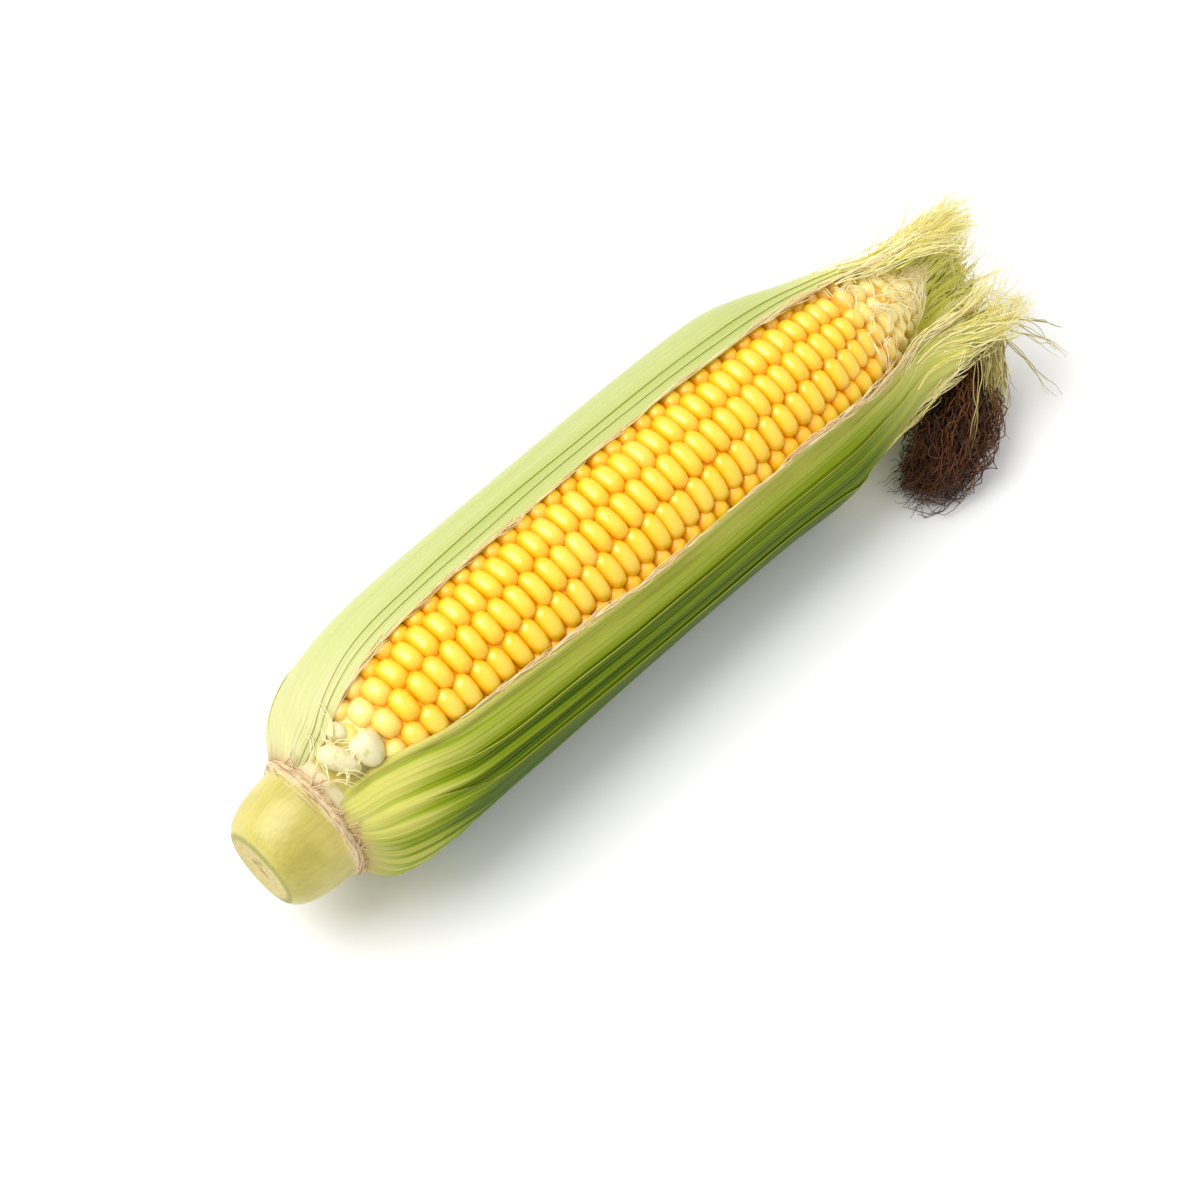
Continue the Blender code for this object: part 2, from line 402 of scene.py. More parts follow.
ear = {
    "profile": (  # mm along, mm over the kernels' crowns
        (28, 13.6), (34, 17.0), (45, 20.7), (60, 22.7), (85, 23.7), (120, 24.0), (150, 23.7), (165, 23.1),
        (177, 22.1), (190, 19.7), (201, 16.0), (210, 12.1), (218, 8.0), (222, 5.3), (224.5, 2.2), (225, 0),
    ),
    "rows": 16,
    "pitch": ((36, 5.9), (48, 5.25), (80, 4.95), (150, 4.85), (185, 4.6), (200, 4.1), (212, 3.4)),
    "rowShift": 13.8,  # degrees
    "firstKernel": 39.5,
    "lastKernel": 209.0,
    "depth": 3.5,  # mm from a crown down to the kernel's middle
    "tightness": 1.14,  # kernels press against their neighbours
    "groove": 1.09,  # and a little into the next row
    "loose": ((36, 1.5), (60, 1.1), (175, 1.2), (190, 2.2), (200, 3.2), (212, 4.5)),  # how uneven they are
    # how square a kernel is from above and from the side, and how much it widens
    "shapes": ((2.55, 2.3, 0.05), (2.75, 2.4, -0.06), (2.4, 2.25, 0.0), (2.6, 2.4, 0.09)),
    "shapeAround": 12,
    "shapeSteps": (16, 34, 54, 76, 100),  # degrees from the top of the crown
    "widest": 2.3,  # a kernel's width, at most, in pitches
    "coveredAt": 318,  # degrees; the rows that the left leaves cover start nearer the stem
    "tipRings": ((211.5, 11), (214.5, 10), (217.2, 9), (219.6, 7), (221.8, 5)),  # mm along, kernels
    "seed": 11,
}


def earRadius(s):
    return through(ear["profile"], s)


def kernelShape(name, plan, dome, wedge):  # a closed crown; its own axes are across, along and out
    around = ear["shapeAround"]
    bm = bmesh.new()
    crown = bm.verts.layers.float.new("crown")

    def bent(value, power):
        return math.copysign(abs(value) ** (2 / power), value)

    top = bm.verts.new((0, 0, 1))
    top[crown] = 1
    rings = []
    for step in ear["shapeSteps"]:
        polar = math.radians(step)
        ring = []
        for i in range(around):
            a = tau * i / around
            spread = bent(math.sin(polar), dome)
            x = spread * bent(math.cos(a), plan)
            y = spread * bent(math.sin(a), plan)
            vert = bm.verts.new((x * (1 + wedge * y), y, bent(math.cos(polar), dome)))
            vert[crown] = max(0.0, math.cos(polar))
            ring.append(vert)
        rings.append(ring)
    for i in range(around):
        bm.faces.new((top, rings[0][i], rings[0][(i + 1) % around]))
        for low, high in zip(rings[1:], rings):
            bm.faces.new((low[i], low[(i + 1) % around], high[(i + 1) % around], high[i]))
    bm.faces.new(list(reversed(rings[-1])))
    return bpy.data.objects.new(name, meshFrom(bm, name))


def kernelTree(material):
    tree = newTree("kernels", {
        "Shapes": ("NodeSocketCollection", None),
        "Lumps": ("NodeSocketFloat", 0.00018),
        "Lump size": ("NodeSocketFloat", 260.0),
        "Seed": ("NodeSocketInt", 3),
    })
    graph, given = begin(tree)
    shapes = graph.node("GeometryNodeCollectionInfo", {"transform_space": "ORIGINAL"},
                        {"Collection": given["Shapes"], "Separate Children": True, "Reset Children": True})
    placed = graph.node("GeometryNodeInstanceOnPoints", None, {
        "Points": given["Geometry"],
        "Instance": shapes,
        "Pick Instance": True,
        "Instance Index": graph.named("shape", "INT"),
        "Rotation": graph.named("turned", "FLOAT_VECTOR"),
        "Scale": graph.named("size", "FLOAT_VECTOR"),
    })
    real = graph.node("GeometryNodeRealizeInstances", None, {"Geometry": placed})
    where = graph.node("GeometryNodeInputPosition")
    shifted = graph.vector("ADD", where, graph.xyz(given["Seed"], 0.0, 0.0))
    lump = graph.noise(shifted, given["Lump size"], 1.0, 0.5, "Color")
    push = graph.scaled(graph.vector("SUBTRACT", lump, (0.5, 0.5, 0.5)), given["Lumps"])
    moved = graph.node("GeometryNodeSetPosition", None, {"Geometry": real, "Offset": push})
    smooth = graph.node("GeometryNodeSetShadeSmooth", None, {"Geometry": moved, "Shade Smooth": True})
    finishTree(graph, smooth, material)
    return tree


def kernelPaint():
    gloss = {"Specular IOR Level": 0.4, "Coat Weight": 1.0, "Coat Roughness": 0.27}
    paint = Paint("kernelSkin", soft(0.20, (1.0, 0.65, 0.10), 0.0025) | gloss)
    crown, tone, pale = paint.read("crown"), paint.read("tone"), paint.read("pale")
    where = paint.where()
    mottle = paint.noise(where, 420.0, 3.0)
    height = paint.ramp(crown + (mottle - 0.5) * 0.25, 0.05, 0.95)
    ripe = paint.mix(height, colour(252, 174, 0), colour(255, 206, 16))
    ripe = paint.mix(tone * 0.45, ripe, colour(255, 194, 2))
    # the palest top of each crown is partly the kernel's own starchy crown and partly a painted highlight
    ripe = paint.mix(paint.ramp(crown, 0.74, 1.0) * 0.35, ripe, colour(255, 226, 90))
    young = paint.mix(height, colour(248, 216, 104), colour(252, 238, 160))
    tint = paint.mix(pale, ripe, young)
    rough = 0.33 + mottle * 0.10 + pale * 0.12
    dimple = paint.noise(where, 900.0, 2.0)
    return paint.feed(Base_Color=tint, Roughness=rough, Normal=paint.bump(dimple, 0.10, 0.0004))


def kernelPoints():
    rng = random.Random(ear["seed"])
    points, turned, sizes, tones, pales, shapes = [], [], [], [], [], []
    rowTurn = 360 / ear["rows"]

    def uneven(share, loose):
        return 1 + rng.gauss(0, share * loose)

    def add(s, turn, across, along, depth, loose, pale):
        radius = earRadius(s)
        rise = (earRadius(s + 1) - earRadius(s - 1)) / 4
        ahead = (place(s + 0.5, turn, radius + rise) - place(s - 0.5, turn, radius - rise)).normalized()
        out = (place(s, turn, radius + 1) - place(s, turn, radius)).normalized()
        sideways = ahead.cross(out).normalized()
        out = sideways.cross(ahead)
        upright = Matrix((sideways, ahead, out)).transposed()
        tilt = Matrix.Rotation(rng.gauss(0, 0.030 * loose), 3, "X")
        twist = Matrix.Rotation(rng.gauss(0, 0.035 * loose), 3, "Z")
        height = depth * mm * uneven(0.02, loose)
        points.append(place(s, turn, radius) - out * depth * mm)
        turned.append((upright @ (tilt @ twist)).to_euler()[:])
        sizes.append((across * mm / 2 * uneven(0.018, loose), along * mm / 2 * uneven(0.022, loose), height))
        tones.append(min(max(rng.gauss(0.4, 0.25), 0), 1))
        pales.append(pale)
        shapes.append(rng.randrange(4))

    for row in range(ear["rows"]):
        turn = (row + 0.5) * rowTurn - ear["rowShift"]
        firstPitch = through(ear["pitch"], ear["firstKernel"])
        s = ear["firstKernel"] - 0.5 * (row % 2) * firstPitch
        if abs(turn - ear["coveredAt"]) < 35:
            s -= firstPitch
        while s < ear["lastKernel"] + rng.uniform(-2, 2):
            pitch = through(ear["pitch"], s)
            slip = 0.9 * wobble(row * 1.7, s * 0.02, 3)
            loose = through(ear["loose"], s)
            across = min(tau * earRadius(s) / ear["rows"] * ear["groove"], pitch * ear["widest"])
            pale = 0.55 * (1 - ease((s - 37) / 9)) + 0.85 * ease((s - 190) / 20) + rng.gauss(0, 0.04)
            depth = min(ear["depth"], 0.45 * earRadius(s))
            add(s + slip + rng.gauss(0, 0.12 * loose), turn + rng.gauss(0, 0.35 * loose),
                across, pitch * ear["tightness"], depth, loose, min(max(pale, 0), 1))
            s += pitch
    for s, count in ear["tipRings"]:  # the smallest ones
        for i in range(count):
            width = tau * earRadius(s) / count
            add(s + rng.gauss(0, 0.4), 360 * i / count + rng.gauss(0, 5),
                width * 1.02, min(3.2, width * 0.9), 1.6, 3.2, min(1.0, 0.95 + rng.gauss(0, 0.05)))
    return pointMesh("kernelPlaces", points, {
        "turned": ("FLOAT_VECTOR", turned), "size": ("FLOAT_VECTOR", sizes), "tone": ("FLOAT", tones),
        "pale": ("FLOAT", pales), "shape": ("INT", shapes),
    })


def makeKernels():
    shapes = bpy.data.collections.new("kernelShapes")
    for i, shape in enumerate(ear["shapes"]):
        shapes.objects.link(kernelShape(f"kernelShape{i}", *shape))
    skin = kernelPaint()
    for shape in shapes.objects:
        shape.data.materials.append(skin)
    piece = grow("kernels", kernelPoints(), kernelTree(skin), {"Shapes": shapes})
    for shape in list(shapes.objects):
        bpy.data.objects.remove(shape)
    bpy.data.collections.remove(shapes)
    keep(piece, "kernels", "ear")


def cobPaint():
    paint = Paint("cobFlesh", soft(0.2, (1.0, 0.5, 0.1), 0.002))
    along = paint.part(paint.where(), "X") * (1 / mm) - stemX / mm
    grain = paint.noise(paint.where(), 700.0, 4.0, 0.6)
    gap = paint.mix(grain, colour(250, 176, 20), colour(255, 204, 60))
    pale = paint.mix(grain, colour(236, 214, 140), colour(250, 240, 190))
    ends = 1 - paint.ramp(along, 33, 40) * (1 - paint.ramp(along, 205, 216))
    return paint.feed(Base_Color=paint.mix(ends, gap, pale), Roughness=0.55 + grain * 0.2,
                      Normal=paint.bump(grain, 0.5, 0.0006))


def makeCob():  # what shows between the kernels, and the bare tip
    rings = []
    s = 27.0
    around = 96
    while s < 224.4:
        radius = earRadius(s)
        under = blend(2.7, 1.2, ease((s - 200) / 18)) * ease((s - 24) / 14)
        ring = []
        for i in range(around):
            turn = 360 * i / around
            bumps = 0.5 * wobble(turn * 0.16, s * 0.5, 2) * ease((s - 205) / 10)
            ring.append(place(s, turn, max(radius - min(under, radius * 0.35) + bumps, 0.6)))
        rings.append(ring)
        s += 0.8
    mesh = ringMesh("cob", [(rings, place(26.5, 0, 0), place(224.7, 0, 0))])
    mesh.materials.append(cobPaint())
    keep(newObject("cob", mesh), "kernels", "ear")


makeKernels()
makeCob()
print("kernels grown")

husk = {
    "radius": (  # mm along, mm out to the outermost leaf
        (18, 15.9), (20, 19.2), (23, 22.5), (28, 25.0), (34, 26.6), (45, 28.0), (60, 28.6), (80, 28.9),
        (150, 29.2), (171, 29.2), (184, 26.6), (190, 24.8), (202, 20.8), (210, 18.8), (223, 16.8),
        (234, 16.8), (250, 17.4),
    ),
    "lean": (  # mm wider on the loose side, and narrower on the other
        (18, 0), (30, 0.5), (45, 0.5), (60, 0.3), (80, 0.1), (130, 0.1), (150, 0.4), (171, 1.4), (184, 2.2),
        (190, 3.0), (202, 5.0), (210, 5.6), (223, 7.2), (234, 8.6), (250, 10.0),
    ),
    "leftEdge": (  # mm along, degrees
        (18, -30), (24, -37), (30, -41), (40, -42), (60, -41), (80, -41.5), (140, -41), (167, -38),
        (190, -38), (205, -41), (215, -42), (223, -34), (232, -12), (250, 10),
    ),
    "rightEdge": (
        (18, 0), (26, 8), (31, 12), (40, 19), (50, 26), (66, 29), (88, 32), (115, 35.5), (140, 37),
        (167, 40), (185, 46), (203, 54), (218, 58), (235, 52), (250, 46),
    ),
    "start": 17.8,
    "step": 0.36,  # mm from leaf to leaf
    "spreadOver": 46,  # degrees over which they rise from the kernels to the full width
    "thickness": 0.30,
    "far": {-1: -236, 1: 196},  # degrees, where the leaves of each side end round the back
    "shortAt": 113,  # degrees; the mouth is cut short here, and the silk drops out
    "shortEnd": 216.0,
    "backEnd": 248.5,
    "paintRadius": 26,  # mm out at which widths on a leaf are measured
    "stations": 100,
    "columns": 150,
    "foldsPerTurn": 16,
    "greens": {  # pale, middle and deep, for each side
        -1: ((0.0, colour(190, 196, 122)), (0.42, colour(160, 178, 76)), (0.95, colour(100, 128, 24))),
        1: ((0.0, colour(198, 194, 100)), (0.42, colour(134, 152, 20)), (0.95, colour(58, 86, 0))),
    },
    "paintedGlow": 0.10,  # painted glow on the inner faces: they emit light of their own, standing in for light coming through the leaf
}
leafTraits = ("side", "rank", "setBack", "end", "green", "fray", "lift", "fold")
# the side of the opening, the place in the stack, degrees back from the opening, the end in mm along,
# how green, how torn in mm, how far the edge lifts in mm, and how deep the folds are in mm
leaves = {
    "left_1": (-1, 0, 0, 231.0, 0.16, 13, 0.1, 0.06),
    "left_2": (-1, 1, 9, 233.0, 0.26, 14, 0.1, 0.06),
    "left_3": (-1, 2, 15, 235.0, 0.16, 12, 0.1, 0.06),
    "left_4": (-1, 3, 70, 243.0, 0.5, 8, 0.0, 0.1),
    "right_1": (1, 0, 0, 233.0, 0.16, 14, 0.4, 0.85),
    "right_2": (1, 1, 9, 237.0, 0.42, 12, 0.4, 0.85),
    "right_3": (1, 2, 21, 233.0, 0.72, 10, 0.5, 0.8),
    "right_4": (1, 3, 38, 196.0, 0.95, 0, 0.3, 0.4),
}
leaves = {name: dict(zip(leafTraits, values)) for name, values in leaves.items()}


def huskHug(s):
    s = min(max(s - 1.5 * ease((s - 185) / 20), 28), 225)
    return earRadius(s) + 0.45


def huskOutside(s, turn):
    loose = through(husk["radius"], s) + through(husk["lean"], s) * math.sin(math.radians(turn))
    loose -= 6 * ease((s - 208) / 24) * ease((abs(turn % 360 - 180) - 40) / -50 + 1)  # the back closes up
    return max(loose, huskHug(s) + (2.4 - ease((s - 180) / 20)) * ease((s - 18) / 9))


def sharedBack(turn):  # 1 along the back, where both sides' leaves lie in between each other
    turn %= 360
    return ease((turn - 102) / 30) * (1 - ease((turn - 198) / 30))


def openingEdge(side, s):
    return through(husk["rightEdge"] if side > 0 else husk["leftEdge"], s)


def leafEdge(leaf, s):
    edge = openingEdge(leaf["side"], s) + leaf["side"] * leaf["setBack"] * (0.7 + 0.3 * ease((s - 22) / 40))
    return edge + 1.3 * wobble(s * 0.04, leaf["rank"] * 3.1, 5 + leaf["side"]) * ease((s - 26) / 20)


def leafEnd(leaf, turn):
    around = turn % 360
    short = 1 - ease((abs(around - husk["shortAt"]) - 14) / 9) if leaf["side"] > 0 else 0
    end = leaf["end"] - 3 * abs(((turn / 24 + 0.37 * leaf["rank"]) % 1) * 2 - 1)
    if leaf["rank"] < 3:  # the back reaches further than the sides
        end = min(end + 15 * ease((abs(around - 180) - 30) / -50 + 1), husk["backEnd"])
    return blend(end, min(end, husk["shortEnd"]), short)


def leafFold(side, s, turn):  # 0 in a crease, 1 on a fold; the folds run beside the opening
    turn -= openingEdge(side, s)
    wander = 190 * wobble(turn * 0.05, s * 0.003, 5 + side)
    return math.sin(math.radians(turn * husk["foldsPerTurn"] + wander)) ** 2


def leafPoint(leaf, s, turn, beyond=0.0):
    side = leaf["side"]
    back = sharedBack(turn)
    order = blend(leaf["rank"], 2 * leaf["rank"] + (side + 1) / 2, back)
    fromOpening = (turn - openingEdge(side, s)) * side
    parted = min(ease(fromOpening / husk["spreadOver"]) + 0.8 * ease((s - 202) / 26), 1)
    radius = blend(huskHug(s), huskOutside(s, turn) - blend(3, 7, back) * husk["step"], parted)
    radius += order * husk["step"]
    fromEdge = max((turn - leafEdge(leaf, s)) * side, 0) * radius * math.pi / 180  # mm
    radius += leaf["lift"] * math.exp(-fromEdge / 3.0) * ease((s - 32) / 30)
    ripple = wobble(turn * 0.075, s * 0.006, 4 * side) + 0.6 * wobble(turn * 0.20, s * 0.009, 9 * side)
    radius += 0.3 * ripple * ease((s - 22) / 12)
    near = ease((s - 19) / 9) * (1 - 0.6 * ease((s - 70) / 50)) * (1 - 0.6 * back)
    radius += leaf["fold"] * near * (leafFold(side, s, turn) - 0.6)
    radius = blend(15.7 + 0.12 * order, radius + beyond, ease((s - husk["start"] + 0.5) / 3.6))
    point = place(s, turn, radius)
    point.z = max(point.z, (0.1 + (7 - order) * 0.2) * mm)
    return point


def makeLeafMesh(name, leaf):
    side, rank = leaf["side"], leaf["rank"]
    perDegree = math.radians(husk["paintRadius"])
    bm = bmesh.new()
    layers = {field: bm.verts.layers.float.new(field) for field in ("along", "across", "edge", "fold")}
    grid = []
    for column in range(husk["columns"] + 1):
        share = (column / husk["columns"]) ** 1.25
        line = []
        for station in range(husk["stations"] + 1):
            v = station / husk["stations"]
            s = blend(husk["start"], leaf["end"], v)
            turn = blend(leafEdge(leaf, s), husk["far"][side], share)
            ragged = leaf["fray"] * (0.6 + 0.6 * wobble(turn * 0.4, 0.0, rank + 20 * side)
                                     + 0.6 * wobble(turn * 1.1, 1.0, rank + 31 * side))
            if leaf["fray"] == 0:  # a rounded corner on the short, loose leaf
                corner = (turn - leafEdge(leaf, s)) * side
                ragged = 17 * math.exp(-(corner / 14) ** 1.4)
            end = leafEnd(leaf, turn) - max(ragged, 0) * ease((v - 0.80) / 0.20)
            s = blend(husk["start"], end, v)
            curl = ease((s - 208) / 30)
            tatter = leaf["fray"] * 0.20 * wobble(turn * 0.26, s * 0.05, 40 + rank * side) * curl
            vert = bm.verts.new(leafPoint(leaf, s, turn, tatter))
            vert[layers["along"]] = s
            vert[layers["across"]] = (turn - openingEdge(side, s)) * perDegree
            vert[layers["edge"]] = abs(turn - leafEdge(leaf, s)) * perDegree
            vert[layers["fold"]] = leafFold(side, s, turn)
            line.append(vert)
        grid.append(line)
    for near, nextLine in zip(grid, grid[1:]):
        for a, b, c, d in zip(near, near[1:], nextLine[1:], nextLine):
            bm.faces.new((d, c, b, a) if side > 0 else (a, b, c, d))
    return meshFrom(bm, name)


def leafPaint(name, leaf, inner):
    side, rank = leaf["side"], leaf["rank"]
    right = side > 0
    paint = Paint(name, soft(0.12, (0.6, 1.0, 0.2), 0.0012) | {"Specular IOR Level": 0.06 if right else 0.5})
    along, across, edge, fold = [paint.read(field) for field in ("along", "across", "edge", "fold")]
    seed = rank * 3.7 + side * 11.3

    def grain(wide, long, shift, detail, rough=0.5):  # stretched along the leaf
        return paint.noise(paint.xyz(across * wide, along * long, seed + shift), 1.0, detail, rough)

    def wave(sway, period):  # period in mm
        return paint.maths("SINE", (across + sway) * (tau / period)) * 0.5 + 0.5

    streak = grain(2.6, 0.011, 0, 4.0, 0.7)
    broad = grain(0.20, 0.010, 5, 2.0)
    bend = grain(0.4, 0.012, 9, 1.0)
    ribs = wave(bend * 2.2, 1.9)
    fine = wave(bend * 1.1, 0.85)
    green = leaf["green"] * (0.4 if inner else 1.0)
    rise = paint.ramp(along, 24, 60 if right else 110)
    amount = rise * green + (broad - 0.5) * (0.5 * (0.3 + green)) + (streak - 0.5) * (0.7 * (0.35 + green))
    amount = amount - ribs * (0.12 * (0.3 + green))
    # painted light on the pleats: painted shade in the creases and a painted highlight along the folds
    foldShadeAndHighlight = (1 - paint.ramp(along, 70, 150) * 0.6) * (0.2 + 0.3 * green if right else 0.08)
    amount = amount + (0.62 - fold) * foldShadeAndHighlight
    tipward = paint.ramp(along, 172, 222) if rank < 3 else paint.ramp(along, 165, 190)
    amount = amount - tipward * (0.45 * green)
    if right:  # greener and darker away from the opening: partly the leaf's own deeper green and partly painted shadow
        amount = amount + paint.ramp(across, 3, 26) * 0.3
    tint = paint.node("ShaderNodeValToRGB", {"stops": husk["greens"][side]}, {"Fac": amount})
    straw = colour(246, 238, 100) if inner else colour(250, 246, 168)
    tint = paint.mix(tipward * 0.8, tint, paint.mix(streak, colour(214, 212, 84), straw))
    veins = paint.ramp(fine + streak, 1.15, 1.6) * 0.22
    tint = paint.mix(veins, tint, colour(200, 204, 96) if right else colour(226, 226, 160))
    cream = (1 - paint.ramp(along + fold * 6, 20, 28 if right else 62)) * 0.8
    tint = paint.mix(cream, tint, colour(190, 186, 112) if right else colour(202, 200, 138))
    blush = (1 - paint.ramp(along + (streak - 0.5) * 3, 18.2, 21.4)) * 0.6
    tint = paint.mix(blush, tint, colour(206, 172, 120))
    rim = (1 - paint.ramp(edge, 0.0, 1.6)) * paint.ramp(streak, 0.3, 0.6) * (0.4 if rank == 0 else 0.1)
    tint = paint.mix(rim, tint, colour(226, 190, 130))
    # painted glow: the inner faces emit their own colour as light, though they are no lamp
    if inner:
        paint.shader.inputs["Emission Strength"].default_value = husk["paintedGlow"]
        paint.feed(Emission_Color=tint)
    height = ribs * 0.6 + fine * 0.3 + streak * 0.6
    rough = 0.36 + streak * 0.16 - ribs * 0.05
    return paint.feed(Base_Color=tint, Roughness=rough, Normal=paint.bump(height, 0.5, 0.00028))


def makeLeaf(name, leaf):
    piece = newObject("leaf_" + name, makeLeafMesh("leaf_" + name, leaf))
    piece.data.materials.append(leafPaint("leafOuter_" + name, leaf, False))
    piece.data.materials.append(leafPaint("leafInner_" + name, leaf, True))
    thicken = piece.modifiers.new("thickness", "SOLIDIFY")
    thicken.thickness = husk["thickness"] * mm
    thicken.offset = -1
    thicken.material_offset = 1
    thicken.material_offset_rim = 1
    keep(piece, "husk_outer" if leaf["rank"] > 1 else "husk_inner", "husk_leaf_" + name)


for name, leaf in leaves.items():
    makeLeaf(name, leaf)
print("leaves opened")

stem = {
    "profile": (  # mm along, mm out
        (0.0, 8.8), (0.3, 9.8), (1.0, 10.9), (2.3, 12.0), (4.5, 13.1), (7.5, 14.0), (11, 14.6), (14, 14.8),
        (15.2, 14.9), (16.0, 15.6), (17.0, 16.2), (18.2, 16.0), (19.4, 15.2), (22, 14.3), (25, 13.6),
        (27.4, 13.2),
    ),
    "length": 27.4,
    "collar": 17.2,
    "around": 96,
    "stations": 90,
    "cutRadius": 8.8,
    "cutRings": (0.12, 0.25, 0.4, 0.55, 0.7, 0.84, 0.94),  # across the cut face, as shares of its radius
    "pith": (1.5, -0.9, 1.9, 0.8),  # mm off the middle, half length and half width of the slit
}


def stemRadius(s, turn):
    angle = math.radians(turn)
    radius = through(stem["profile"], s)
    radius += 0.35 * wobble(math.cos(angle) * 1.6, math.sin(angle) * 1.6 + s * 0.02, 3) * ease(s / 3)
    ridge = math.exp(-((s - stem["collar"]) / 1.4) ** 2)
    return radius + ridge * (0.3 * wobble(turn * 0.12, s * 0.9, 8) + 0.15 * wobble(turn * 0.5, s, 9))


def makeStem():
    turns = [360 * i / stem["around"] for i in range(stem["around"])]
    middleX, middleY, halfLength, halfWidth = stem["pith"]
    rings = []
    for share in stem["cutRings"]:
        radius = stem["cutRadius"] * share
        ring = []
        for turn in turns:
            x = radius * math.cos(math.radians(turn))
            y = radius * math.sin(math.radians(turn))
            u, v = (x - middleX) / halfLength, (y - middleY) / halfWidth
            dip = 1.4 * math.exp(-(u * u + v * v)) + 0.14 * wobble(x * 0.5, y * 0.5, 6) + 0.25 * (1 - share)
            ring.append(place(0.05 + max(dip, 0), turn, radius))
        rings.append(ring)
    for i in range(stem["stations"] + 1):
        s = stem["length"] * (i / stem["stations"]) ** 1.3
        rings.append([place(s, turn, stemRadius(s, turn)) for turn in turns])
    mesh = ringMesh("stem", [(rings, place(0.4, 0, 0), place(stem["length"], 0, 0))])
    mesh.materials.append(stemPaint())
    keep(newObject("stem", mesh), "shank", "shank")


def stemPaint():
    gloss = {"Specular IOR Level": 0.5, "Coat Weight": 0.08, "Coat Roughness": 0.3}
    paint = Paint("stemSkin", soft(0.15, (0.8, 1.0, 0.3), 0.003) | gloss)
    where = paint.where()
    centre = place(0, 0, 0)
    along = (paint.part(where, "X") - stemX) * (1 / mm)
    y = (paint.part(where, "Y") - centre.y) * (1 / mm)
    z = (paint.part(where, "Z") - centre.z) * (1 / mm)
    out = paint.maths("SQRT", y * y + z * z)
    patch = paint.noise(where, 55.0, 2.0)
    streak = paint.noise(paint.xyz(along * 0.06, y * 0.9, z * 0.9), 1.6, 3.0, 0.6)
    shade = paint.ramp(patch + (streak - 0.5) * 0.4, 0.25, 0.75)
    skin = paint.mix(shade, colour(176, 164, 70), colour(208, 194, 108))
    grain = paint.noise(where, 1500.0, 3.0, 0.7)
    flesh = paint.mix(paint.ramp(grain, 0.35, 0.7), colour(186, 168, 96), colour(218, 200, 138))
    pithY, pithZ = y * 0.95 + z * 0.32, z * 0.95 - y * 0.32
    pith = 1 - paint.ramp(pithY * pithY * 0.12 + pithZ * pithZ * 0.9, 0.3, 1.6)
    flesh = paint.mix(pith * 0.8, flesh, colour(150, 128, 30))
    rimGreen = paint.ramp(out + (patch - 0.5) * 5 + (grain - 0.5) * 1.6, 8.0, 9.6)
    flesh = paint.mix(rimGreen * 0.8, flesh, colour(140, 146, 58))
    cut = 1 - paint.ramp(along + (grain - 0.5) * 0.5, 0.25, 0.8)
    tint = paint.mix(cut, skin, flesh)
    collar = paint.ramp(along + (streak - 0.5) * 1.2, 15.2, 16.2) * (1 - paint.ramp(along, 21.8, 23.2))
    torn = paint.noise(paint.xyz(along * 1.6, y * 0.16, z * 0.16), 1.0, 4.0, 0.7)
    ring = paint.mix(paint.ramp(torn, 0.50, 0.64), colour(226, 202, 158), colour(166, 128, 78))
    ring = paint.mix(paint.ramp(along, 18.6, 20.4) * 0.8, ring, colour(234, 222, 182))
    tint = paint.mix(collar * 0.9, tint, ring)
    rough = 0.36 + cut * 0.35 + collar * 0.25
    height = streak * 0.4 + grain * (cut * 0.8) + torn * collar * 2
    return paint.feed(Base_Color=tint, Roughness=rough, Normal=paint.bump(height, 0.4, 0.0004))


makeStem()
print("stem cut")

young = {
    # the kernels that never filled: mm along, degrees, mm out, mm long, wide and high, degrees askew
    "lumps": ((26.6, -13, 16.4, 10.5, 5.4, 3.6, 14), (32.8, 0, 17.4, 8.6, 7.6, 3.8, -8),
              (31.0, -30, 16.0, 5, 4.6, 2.8, 6)),
    "around": 20,
    "rings": 14,
}


def youngPaint():
    gloss = {"Coat Weight": 0.15, "Coat Roughness": 0.25}
    paint = Paint("youngSkin", soft(0.2, (0.8, 1.0, 0.4), 0.002) | gloss)
    veins = paint.noise(paint.where(), 330.0, 3.0, 0.6)
    fine = paint.noise(paint.where(), 1200.0, 2.0)
    tint = paint.mix(paint.ramp(veins, 0.30, 0.48), colour(206, 204, 136), colour(230, 220, 176))
    return paint.feed(Base_Color=tint, Roughness=0.34 + fine * 0.2,
                      Normal=paint.bump(veins + fine * 0.4, 0.3, 0.0006))


def makeYoung():
    lumps = []
    for n, (s, turn, radius, length, width, height, skew) in enumerate(young["lumps"]):
        centre = place(s, turn, radius - height * 0.3)
        out = (place(s, turn, radius + 1) - centre).normalized()
        ahead = (place(s + 1, turn, radius + 0.6) - place(s, turn, radius)).normalized()
        sideways = ahead.cross(out).normalized()
        twist = Matrix.Rotation(math.radians(skew), 3, out)
        sideways, ahead = twist @ sideways, twist @ out.cross(sideways)
        rings = []
        for j in range(1, young["rings"]):
            polar = math.pi * j / young["rings"]
            ring = []
            for i in range(young["around"]):
                a = tau * i / young["around"]
                bulk = 1 + 0.06 * math.sin(5 * a + n) * math.sin(polar) - 0.2 * math.cos(polar)
                bulk *= math.sin(polar) ** 0.8
                offset = sideways * (length / 2 * math.cos(polar)) + ahead * (width / 2 * bulk * math.cos(a))
                ring.append(centre + (offset + out * (height * bulk * math.sin(a))) * mm)
            rings.append(ring)
        half = sideways * (length / 2 * mm)
        lumps.append((rings, centre + half, centre - half))
    mesh = ringMesh("young_kernels", lumps)
    mesh.materials.append(youngPaint())
    keep(newObject("young_kernels", mesh), "kernels", "ear")


makeYoung()
print("foot of the cob filled")

